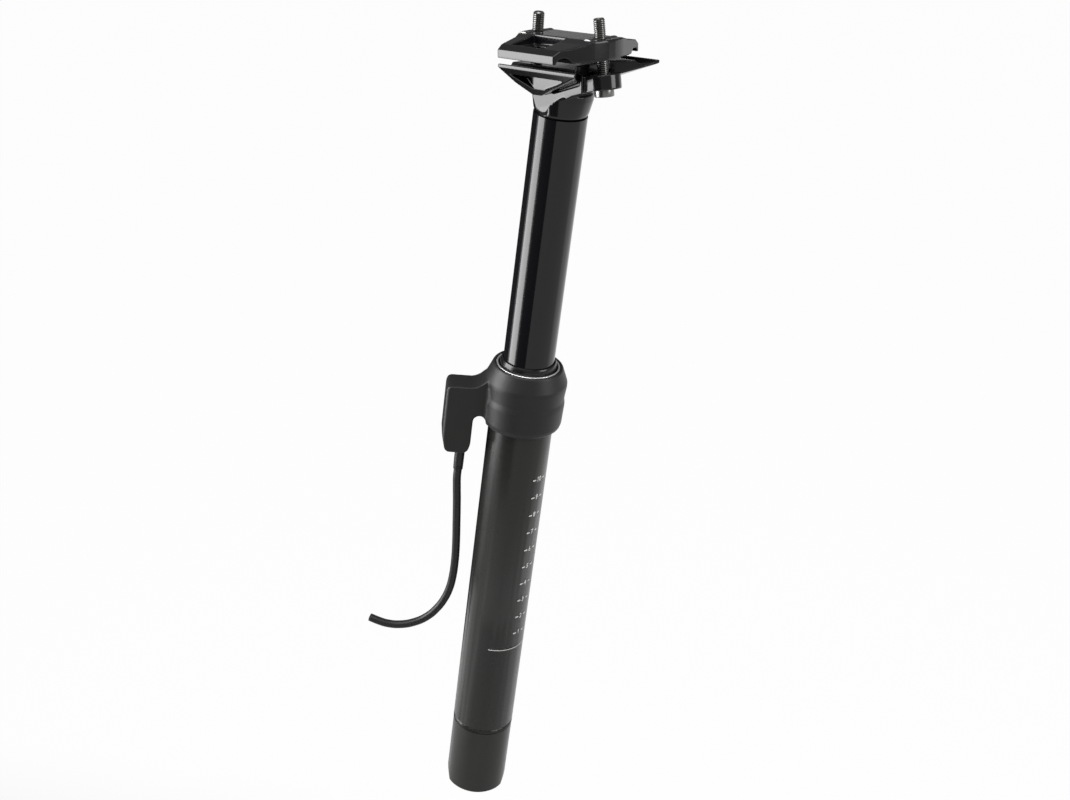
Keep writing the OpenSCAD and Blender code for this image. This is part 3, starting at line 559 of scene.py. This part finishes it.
    def lamps(self, scene):
        """Soft boxes round the post, aimed at its axis"""
        for name, side, reach, height, target, wide, tall, power in self.lamp_rows:
            data = bpy.data.lights.new(name, "AREA")
            data.shape = "RECTANGLE"
            data.size = wide
            data.size_y = tall
            data.energy = power
            lamp = bpy.data.objects.new(name, data)
            scene.collection.objects.link(lamp)
            angle = math.radians(side)
            lamp.location = (reach * math.cos(angle), reach * math.sin(angle), height)
            aim = Vector((0, 0, target)) - lamp.location
            lamp.rotation_euler = aim.to_track_quat("-Z", "Y").to_euler()
            lamp.visible_camera = False


class SEATPOST_OT_casing(bpy.types.Operator):
    """Outer casing of the cable, from the ferrule to its cut end"""

    bl_idname = "seatpost.casing"
    bl_label = "Cable Casing"

    def execute(self, context):
        sizes = context.scene.seatpost_sizes
        curve = bpy.data.curves.new("cable_casing", "CURVE")
        curve.dimensions = "3D"
        curve.bevel_depth = sizes.casing_diameter / 2
        curve.bevel_resolution = 8
        curve.resolution_u = 8
        curve.use_fill_caps = True
        spline = curve.splines.new("BEZIER")
        spline.bezier_points.add(len(CASING_ROUTE) - 1)
        for point, (reach, height) in zip(spline.bezier_points, CASING_ROUTE):
            point.co = under_box(reach, height)
            point.handle_left_type = point.handle_right_type = "AUTO"
        casing = bpy.data.objects.new("cable_casing", curve)
        context.scene.collection.objects.link(casing)
        dress(casing, "outer_post", "cable_black", finishes()["casing"], "cable")
        return {"FINISHED"}


class SEATPOST_OT_tubes(bpy.types.Operator):
    """Outer tube, its cap and the stanchion"""

    bl_idname = "seatpost.tubes"
    bl_label = "Tubes"

    # Engraved line over the tube's lower end: its edges, its depth and the skin it is cut in, in millimetres
    line_lifts = (1.9, 2.02, 2.22, 2.34)
    line_depth = 0.2
    skin = 0.2
    # Room for rounding, in metres
    hair = 1e-6

    def execute(self, context):
        looks = finishes()
        outer = from_solid("outer_sleeve", "outer_tube")
        soften(outer, 0.25, 2)
        self.engrave(outer, context.scene.seatpost_sizes)
        dress(outer, "outer_post", "tube_black", looks["satin"], "outer_tube")
        cap = from_solid("end_cup", "bottom_cap")
        soften(cap, 0.3, 3)
        dress(cap, "outer_post", "tube_black", looks["cup"], "bottom_cap")
        inner = from_solid("sliding_tube", "stanchion")
        soften(inner, 0.2, 2)
        dress(inner, "stanchion", "gloss_black", looks["gloss"], "stanchion")
        return {"FINISHED"}

    def engrave(self, tube, sizes):
        """Cuts the fine line round the tube's lower end"""
        edit_all(tube)
        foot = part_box("outer_tube")[0][2]
        for lift in self.line_lifts:
            bpy.ops.mesh.select_all(action="SELECT")
            bpy.ops.mesh.bisect(plane_co=(0, 0, foot + lift * MM), plane_no=(0, 0, 1))
        leave_edit()
        low, high = (foot + lift * MM for lift in self.line_lifts[1:3])
        sink = 1 - self.line_depth * MM / sizes.tube_radius
        for vertex in tube.data.vertices:
            outside = vertex.co.xy.length > sizes.tube_radius - self.skin * MM
            if outside and low - self.hair < vertex.co.z < high + self.hair:
                vertex.co.xy *= sink


class SEATPOST_OT_collar(bpy.types.Operator):
    """Cast collar with its arm and cable box, rounded as a casting is"""

    bl_idname = "seatpost.collar"
    bl_label = "Collar"

    # Even mesh in millimetres, passes all over and on the arm, and share of faces kept
    voxel = 0.34
    passes = 2
    arm_passes = 24
    kept = 0.6
    # In millimetres: where the arm begins and is fully clear of the wall, the wall, and half the arm's width
    blend_from = 15
    blend_to = 18.5
    wall_reach = 17.2
    arm_half = 11

    def execute(self, context):
        collar = from_solid("cast_collar", "actuator_collar")
        forge(collar, self.voxel, self.passes, self.roundness, self.arm_passes, self.kept)
        dress(collar, "outer_post", "collar_black", finishes()["cast"], "actuator_collar")
        return {"FINISHED"}

    def roundness(self, place):
        """How far a point belongs to the arm and the box, whose edges are rounder than the collar's"""
        place = place / MM
        reach = place.x * BOX_SIDE[0] + place.y * BOX_SIDE[1]
        aside = abs(place.y * BOX_SIDE[0] - place.x * BOX_SIDE[1])
        if aside > self.arm_half or place.xy.length < self.wall_reach:
            return 0
        return min(1, max(0, (reach - self.blend_from) / (self.blend_to - self.blend_from)))


class SEATPOST_OT_seal(bpy.types.Operator):
    """Lip seal round the stanchion"""

    bl_idname = "seatpost.seal"
    bl_label = "Lip Seal"

    def execute(self, context):
        seal = turned("lip_seal", (
            (12.2, 34.7), (12.45, 34.8), (12.85, 34.65), (13.1, 34.2), (13.38, 33.2), (13.5, 32.2),
            (13.58, 31.3), (13.9, 30.75), (14.6, 30.5), (15.1, 30.45), (15.1, 26.8), (12.7, 26.8),
            (12.6, 30.3), (12.2, 33.6),
        ))
        smooth(seal, 35)
        dress(seal, "outer_post", "rubber", finishes()["seal"], "wiper_seal")
        return {"FINISHED"}


class SEATPOST_OT_ferrule(bpy.types.Operator):
    """End sleeve of the casing, with two fine grooves near its foot"""

    bl_idname = "seatpost.ferrule"
    bl_label = "Ferrule"

    def execute(self, context):
        ferrule = turned("casing_ferrule", (
            (0.95, 0), (2.15, 0), (2.28, 0.1), (2.33, 0.3), (2.33, 0.85), (2.12, 0.95), (2.12, 1.25),
            (2.35, 1.35), (2.36, 1.95), (2.14, 2.05), (2.14, 2.35), (2.38, 2.45), (2.42, 6.3),
            (2.45, 12.1), (2.45, 18.2), (0.95, 18.2),
        ), 64)
        place_by(ferrule, Matrix.Translation(under_box(*CASING_ROUTE[0])))
        smooth(ferrule, 30)
        dress(ferrule, "outer_post", "ferrule_black", finishes()["casing"], "cable_ferrule")
        return {"FINISHED"}


class SEATPOST_OT_head(bpy.types.Operator):
    """Forged head with its curved seat and two ears"""

    bl_idname = "seatpost.head"
    bl_label = "Head"

    # Even mesh in millimetres, and passes all over and on the neck
    voxel = 0.32
    passes = 8
    neck_passes = 220
    # Height of the neck, whose flats run out into round corners, and of its ends' fading, in millimetres
    neck_height = 24
    foot_fade = 2
    top_fade = 4

    def execute(self, context):
        head = from_solid("forged_head", "seat_head")
        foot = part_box("seat_head")[0][2]
        top = foot + self.neck_height * MM

        def roundness(place):
            """How far a point belongs to the neck, which is rounder than the ears and the seat"""
            rise = (place.z - foot) / (self.foot_fade * MM)
            fall = (top - place.z) / (self.top_fade * MM)
            return max(0, min(1, rise, fall))

        forge(head, self.voxel, self.passes, roundness, self.neck_passes)
        dress(head, "stanchion", "gloss_black", finishes()["polish"], "seat_head")
        return {"FINISHED"}


class SEATPOST_OT_clamp(bpy.types.Operator):
    """Two halves of the rail clamp"""

    bl_idname = "seatpost.clamp"
    bl_label = "Rail Clamp"

    # Each half, its solid and its passes, and the even mesh in millimetres
    halves = (("rail_cradle", "lower_clamp", 5), ("rail_plate", "upper_clamp", 9))
    voxel = 0.3
    # Room round each barrel nut, in millimetres
    nut_play = 0.28

    def execute(self, context):
        for name, node, passes in self.halves:
            half = from_solid(name, node)
            forge(half, self.voxel, passes)
            if node == "upper_clamp":
                self.clear_nut(half, "front_barrel_nut")
                self.clear_nut(half, "rear_barrel_nut")
            dress(half, "clamp", "gloss_black", finishes()["polish"], node)
        return {"FINISHED"}

    def clear_nut(self, plate, nut):
        """Opens a nut's bore again where the smoothing has narrowed it"""
        low, high = (Vector(corner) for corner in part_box(nut))
        middle = (low + high) / 2
        bore = (high.z - low.z) / 2 + self.nut_play * MM
        half = (high.y - low.y) / 2 + self.nut_play * MM
        for vertex in plate.data.vertices:
            off = Vector((vertex.co.x - middle.x, vertex.co.z - middle.z))
            if abs(vertex.co.y - middle.y) < half and 0 < off.length < bore:
                off *= bore / off.length
                vertex.co.x, vertex.co.z = middle.x + off.x, middle.z + off.y


class SEATPOST_OT_bolts(bpy.types.Operator):
    """Two bolts with real threads and socket heads"""

    bl_idname = "seatpost.bolts"
    bl_label = "Clamp Bolts"

    # Place of the bolts, in millimetres and degrees: the clamp's centre and tilt, and in it each bolt's nut
    head_height = 175
    head_tilt = 10.4
    head_back = 1.2
    bolt_reach = 18.8
    bolt_lean = 6
    nut_height = 10.45
    # Heights along a bolt from its nut's middle, and the depths of head and thread, in millimetres
    thread_foot = -13.0
    tip = 12.0
    seat = -17.5
    head_depth = 3.2
    thread_depth = 0.46
    # Width of the thread's crest as a share of its pitch, its sides to a turn, and the trim at its foot
    crest_share = 0.3
    thread_sides = 28
    trim = 0.1
    # Hexagon socket, in millimetres
    socket_radius = 2.3
    socket_length = 5

    def execute(self, context):
        sizes = context.scene.seatpost_sizes
        thread = self.thread(sizes)
        bolt = self.shank(sizes)
        cut(bolt, thread, "UNION")
        smooth(bolt, 35)
        for side, name in ((1, "front_bolt"), (-1, "rear_bolt")):
            piece = copy_of(bolt, name)
            place_by(piece, self.axis(side))
            dress(piece, "stanchion", "dark_steel", finishes()["bolt"], "clamp_bolts")
        drop(bolt)
        return {"FINISHED"}

    def axis(self, side):
        """Place of the front or the rear bolt"""
        nut = Vector((side * self.bolt_reach - self.head_back, 0, self.nut_height)) * MM
        return (Matrix.Translation((0, 0, self.head_height * MM))
                @ Matrix.Rotation(math.radians(self.head_tilt), 4, "Y") @ Matrix.Translation(nut)
                @ Matrix.Rotation(math.radians(-side * self.bolt_lean), 4, "Y"))

    def thread(self, sizes):
        """The thread: one turn's outline, wound up, trimmed to its length and bevelled at the tip"""
        crest = sizes.bolt_diameter / 2
        root = crest - self.thread_depth * MM
        middle = (crest + root) / 2
        pitch = sizes.bolt_pitch
        start = self.thread_foot * MM - pitch / 2
        clear_selection()
        bpy.ops.mesh.primitive_plane_add(size=1)
        piece = bpy.context.object
        piece.name = piece.data.name = "bolt_thread"
        edit_all(piece)
        bpy.ops.transform.resize(value=(crest - root, pitch, 1), center_override=(0, 0, 0))
        leave_edit()
        place_by(piece, Matrix.Translation((middle, 0, start)) @ Matrix.Rotation(math.radians(90), 4, "X"))
        edit_all(piece)
        bpy.ops.mesh.delete(type="ONLY_FACE")
        bpy.ops.mesh.select_mode(type="EDGE")
        bpy.ops.mesh.select_all(action="DESELECT")
        leave_edit()
        for edge in piece.data.edges:
            edge.select = all(piece.data.vertices[i].co.x < middle for i in edge.vertices)
        bpy.ops.object.mode_set(mode="EDIT")
        bpy.ops.mesh.delete(type="EDGE")
        bpy.ops.mesh.select_mode(type="VERT")
        leave_edit()
        for vertex in piece.data.vertices:
            vertex.select = vertex.co.x > middle
        bpy.ops.object.mode_set(mode="EDIT")
        bpy.ops.transform.resize(value=(1, 1, self.crest_share), center_override=(crest, 0, start))
        leave_edit()
        turns = math.ceil((self.tip - self.thread_foot) * MM / pitch) + 2
        shape_by(piece, "SCREW", axis="Z", angle=math.tau, screw_offset=pitch, iterations=turns,
                 steps=self.thread_sides, render_steps=self.thread_sides, use_merge_vertices=True,
                 merge_threshold=MERGE)
        edit_all(piece)
        bpy.ops.mesh.remove_doubles(threshold=MERGE)
        for height, way in ((self.thread_foot + self.trim, -1), (self.tip, 1)):
            bpy.ops.mesh.select_all(action="SELECT")
            bpy.ops.mesh.bisect(plane_co=(0, 0, height * MM), plane_no=(0, 0, way), use_fill=True,
                                clear_outer=True)
        bpy.ops.mesh.select_all(action="SELECT")
        bpy.ops.mesh.normals_make_consistent(inside=False)
        leave_edit()
        edge = crest / MM
        envelope = turned("bolt_envelope", (
            (AXIS, self.thread_foot - 1), (edge + 1, self.thread_foot - 1), (edge + 1, self.tip - 1.6),
            (edge - 0.7, self.tip + 0.1), (AXIS, self.tip + 0.1),
        ), 48)
        cut(piece, envelope, "INTERSECT")
        return piece

    def shank(self, sizes):
        """The plain shank and the head with its socket"""
        crest = sizes.bolt_diameter / 2 / MM
        crown = self.seat - self.head_depth
        piece = turned("clamp_bolt", (
            (AXIS, self.thread_foot + 0.3), (crest - 0.5, self.thread_foot + 0.3), (crest, self.thread_foot),
            (crest, self.seat), (4.05, self.seat), (4.25, self.seat - 0.2), (4.25, crown + 0.45),
            (4.1, crown + 0.15), (3.8, crown), (AXIS, crown),
        ), 64)
        clear_selection()
        bpy.ops.mesh.primitive_cylinder_add(
            vertices=6, radius=self.socket_radius * MM, depth=self.socket_length * MM)
        socket = bpy.context.object
        place_by(socket, Matrix.Translation((0, 0, crown * MM)))
        cut(piece, socket)
        return piece


class SEATPOST_OT_scale(bpy.types.Operator):
    """Printed depth scale and line, wrapped on the outer tube"""

    bl_idname = "seatpost.scale"
    bl_label = "Depth Scale"

    # Dashes on both sides of a figure, in millimetres, and how much further they stand from two figures
    dash_long = 1.9
    dash_thick = 0.7
    dash_reach = {-1: 2.5, 1: 3.15}
    dash_steps = 8
    wide_number = 10
    wide_room = 0.4
    # Line of least insertion: its ends in degrees round the tube, and its thickness in millimetres
    line_from = 126
    line_to = 232
    line_thick = 0.38
    line_steps = 60
    # Ink: its thickness and how much bolder the figures are, in millimetres
    ink = 0.09
    figure_bold = 0.09
    # Figures: height as a share of the type's size, width as a share of the type's own
    type_share = 0.72
    figure_narrow = 0.86
    figure_merge = 1e-6

    def execute(self, context):
        sizes = context.scene.seatpost_sizes
        marks = []
        for number in range(1, self.wide_number + 1):
            height = sizes.scale_first + (number - 1) * sizes.scale_step
            marks.append(self.figure(str(number), sizes, height))
            for way in (-1, 1):
                room = self.wide_room if number == self.wide_number else 0
                shift = way * (self.dash_reach[way] + room) * MM
                marks.append(self.bar(self.dash_long, self.dash_thick, shift, height, self.dash_steps))
        middle = math.radians((self.line_from + self.line_to) / 2) - sizes.scale_angle
        length = math.radians(self.line_to - self.line_from) * sizes.tube_radius / MM
        marks.append(self.bar(
            length, self.line_thick, middle * sizes.tube_radius, sizes.line_height, self.line_steps))
        pick(*marks)
        bpy.ops.object.join()
        ink = bpy.context.object
        ink.name = ink.data.name = "depth_scale"
        shape_by(ink, "SOLIDIFY", thickness=self.ink * MM, offset=0)
        self.wrap(ink, sizes)
        dress(ink, "outer_post", "nylon", finishes()["print"])
        return {"FINISHED"}

    def figure(self, words, sizes, height):
        """One number of the scale, flat, at its height"""
        clear_selection()
        bpy.ops.object.text_add(radius=sizes.figure_height / self.type_share)
        text = bpy.context.object
        text.data.body = words
        text.data.align_x = "CENTER"
        text.data.align_y = "CENTER"
        text.data.resolution_u = 4
        text.data.offset = self.figure_bold * MM
        bpy.ops.object.convert(target="MESH")
        mark = bpy.context.object
        edit_all(mark)
        bpy.ops.mesh.remove_doubles(threshold=self.figure_merge)
        bpy.ops.mesh.subdivide(number_cuts=1)
        leave_edit()
        place_by(mark, Matrix.Translation((0, height, 0)) @ Matrix.Scale(self.figure_narrow, 4, (1, 0, 0)))
        return mark

    def bar(self, length, thick, shift, height, steps):
        """A flat dash or line, cut into steps so that it can bend round the tube"""
        clear_selection()
        bpy.ops.mesh.primitive_grid_add(x_subdivisions=steps, y_subdivisions=1, size=1)
        mark = bpy.context.object
        place_by(mark, Matrix.Translation((shift, height, 0))
                 @ Matrix.Diagonal((length * MM, thick * MM, 1, 1)))
        return mark

    def wrap(self, ink, sizes):
        """Bends the flat print round the tube"""
        for vertex in ink.data.vertices:
            along, height, lift = vertex.co
            angle = sizes.scale_angle + along / sizes.tube_radius
            reach = sizes.tube_radius + lift
            vertex.co = (reach * math.cos(angle), reach * math.sin(angle), height)
        edit_all(ink)
        bpy.ops.mesh.normals_make_consistent(inside=False)
        leave_edit()


class SEATPOST_OT_spring(bpy.types.Operator):
    """Return spring under the lever, shown at rest; the real one shortens as the wire is pulled"""

    bl_idname = "seatpost.spring"
    bl_label = "Return Spring"

    # Share of its length that is left when the lever is down
    pressed = 0.87

    def execute(self, context):
        spring = from_solid("coil_spring", "return_spring")
        smooth(spring, 40)
        dress(spring, "outer_post", "steel", finishes()["bright"], "return_spring")
        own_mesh(spring)
        return {"FINISHED"}


class SEATPOST_OT_carried(bpy.types.Operator):
    """Finishes of the solids that are shown as they are"""

    bl_idname = "seatpost.carried"
    bl_label = "Carried Solids"

    looks = {
        "tube_black": "satin", "gloss_black": "polish", "collar_black": "cast", "grey_alloy": "alloy",
        "dark_steel": "bolt", "steel": "bright", "bright_ring": "ring", "brass": "brass",
        "nylon": "nylon", "rubber": "seal", "ferrule_black": "casing", "cable_black": "casing",
    }

    def execute(self, context):
        ready = finishes()
        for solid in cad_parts.values():
            for slot in solid.material_slots:
                slot.material = ready[self.looks[slot.material.name.split(".")[0]]]
        return {"FINISHED"}


class SEATPOST_PT_pieces(bpy.types.Panel):
    """Sidebar panel with the seatpost's pieces"""

    bl_idname = "SEATPOST_PT_pieces"
    bl_label = "Dropper Seatpost"
    bl_space_type = "VIEW_3D"
    bl_region_type = "UI"
    bl_category = "Seatpost"

    def draw(self, context):
        for operator in OPERATORS:
            self.layout.operator(operator.bl_idname)
        for group in (context.scene.seatpost_sizes, context.scene.seatpost_finishes):
            for name in group.bl_rna.properties.keys():
                if name not in {"rna_type", "name"}:
                    self.layout.prop(group, name)


OPERATORS = (
    SEATPOST_OT_stage, SEATPOST_OT_casing, SEATPOST_OT_tubes, SEATPOST_OT_collar, SEATPOST_OT_seal,
    SEATPOST_OT_ferrule, SEATPOST_OT_head, SEATPOST_OT_clamp, SEATPOST_OT_bolts, SEATPOST_OT_scale,
    SEATPOST_OT_spring, SEATPOST_OT_carried,
)
CLASSES = (PostSizes, PostFinishes, *OPERATORS, SEATPOST_PT_pieces)


def register():
    """Adds the classes and the two groups of properties"""
    for kind in CLASSES:
        bpy.utils.register_class(kind)
    bpy.types.Scene.seatpost_sizes = bpy.props.PointerProperty(type=PostSizes)
    bpy.types.Scene.seatpost_finishes = bpy.props.PointerProperty(type=PostFinishes)


def unregister():
    """Takes them out again"""
    del bpy.types.Scene.seatpost_finishes
    del bpy.types.Scene.seatpost_sizes
    for kind in reversed(CLASSES):
        bpy.utils.unregister_class(kind)


def main():
    """Makes every piece"""
    register()
    for operator in OPERATORS:
        group, name = operator.bl_idname.split(".")
        getattr(getattr(bpy.ops, group), name)()
    clear_selection()


if __name__ == "__main__":
    main()
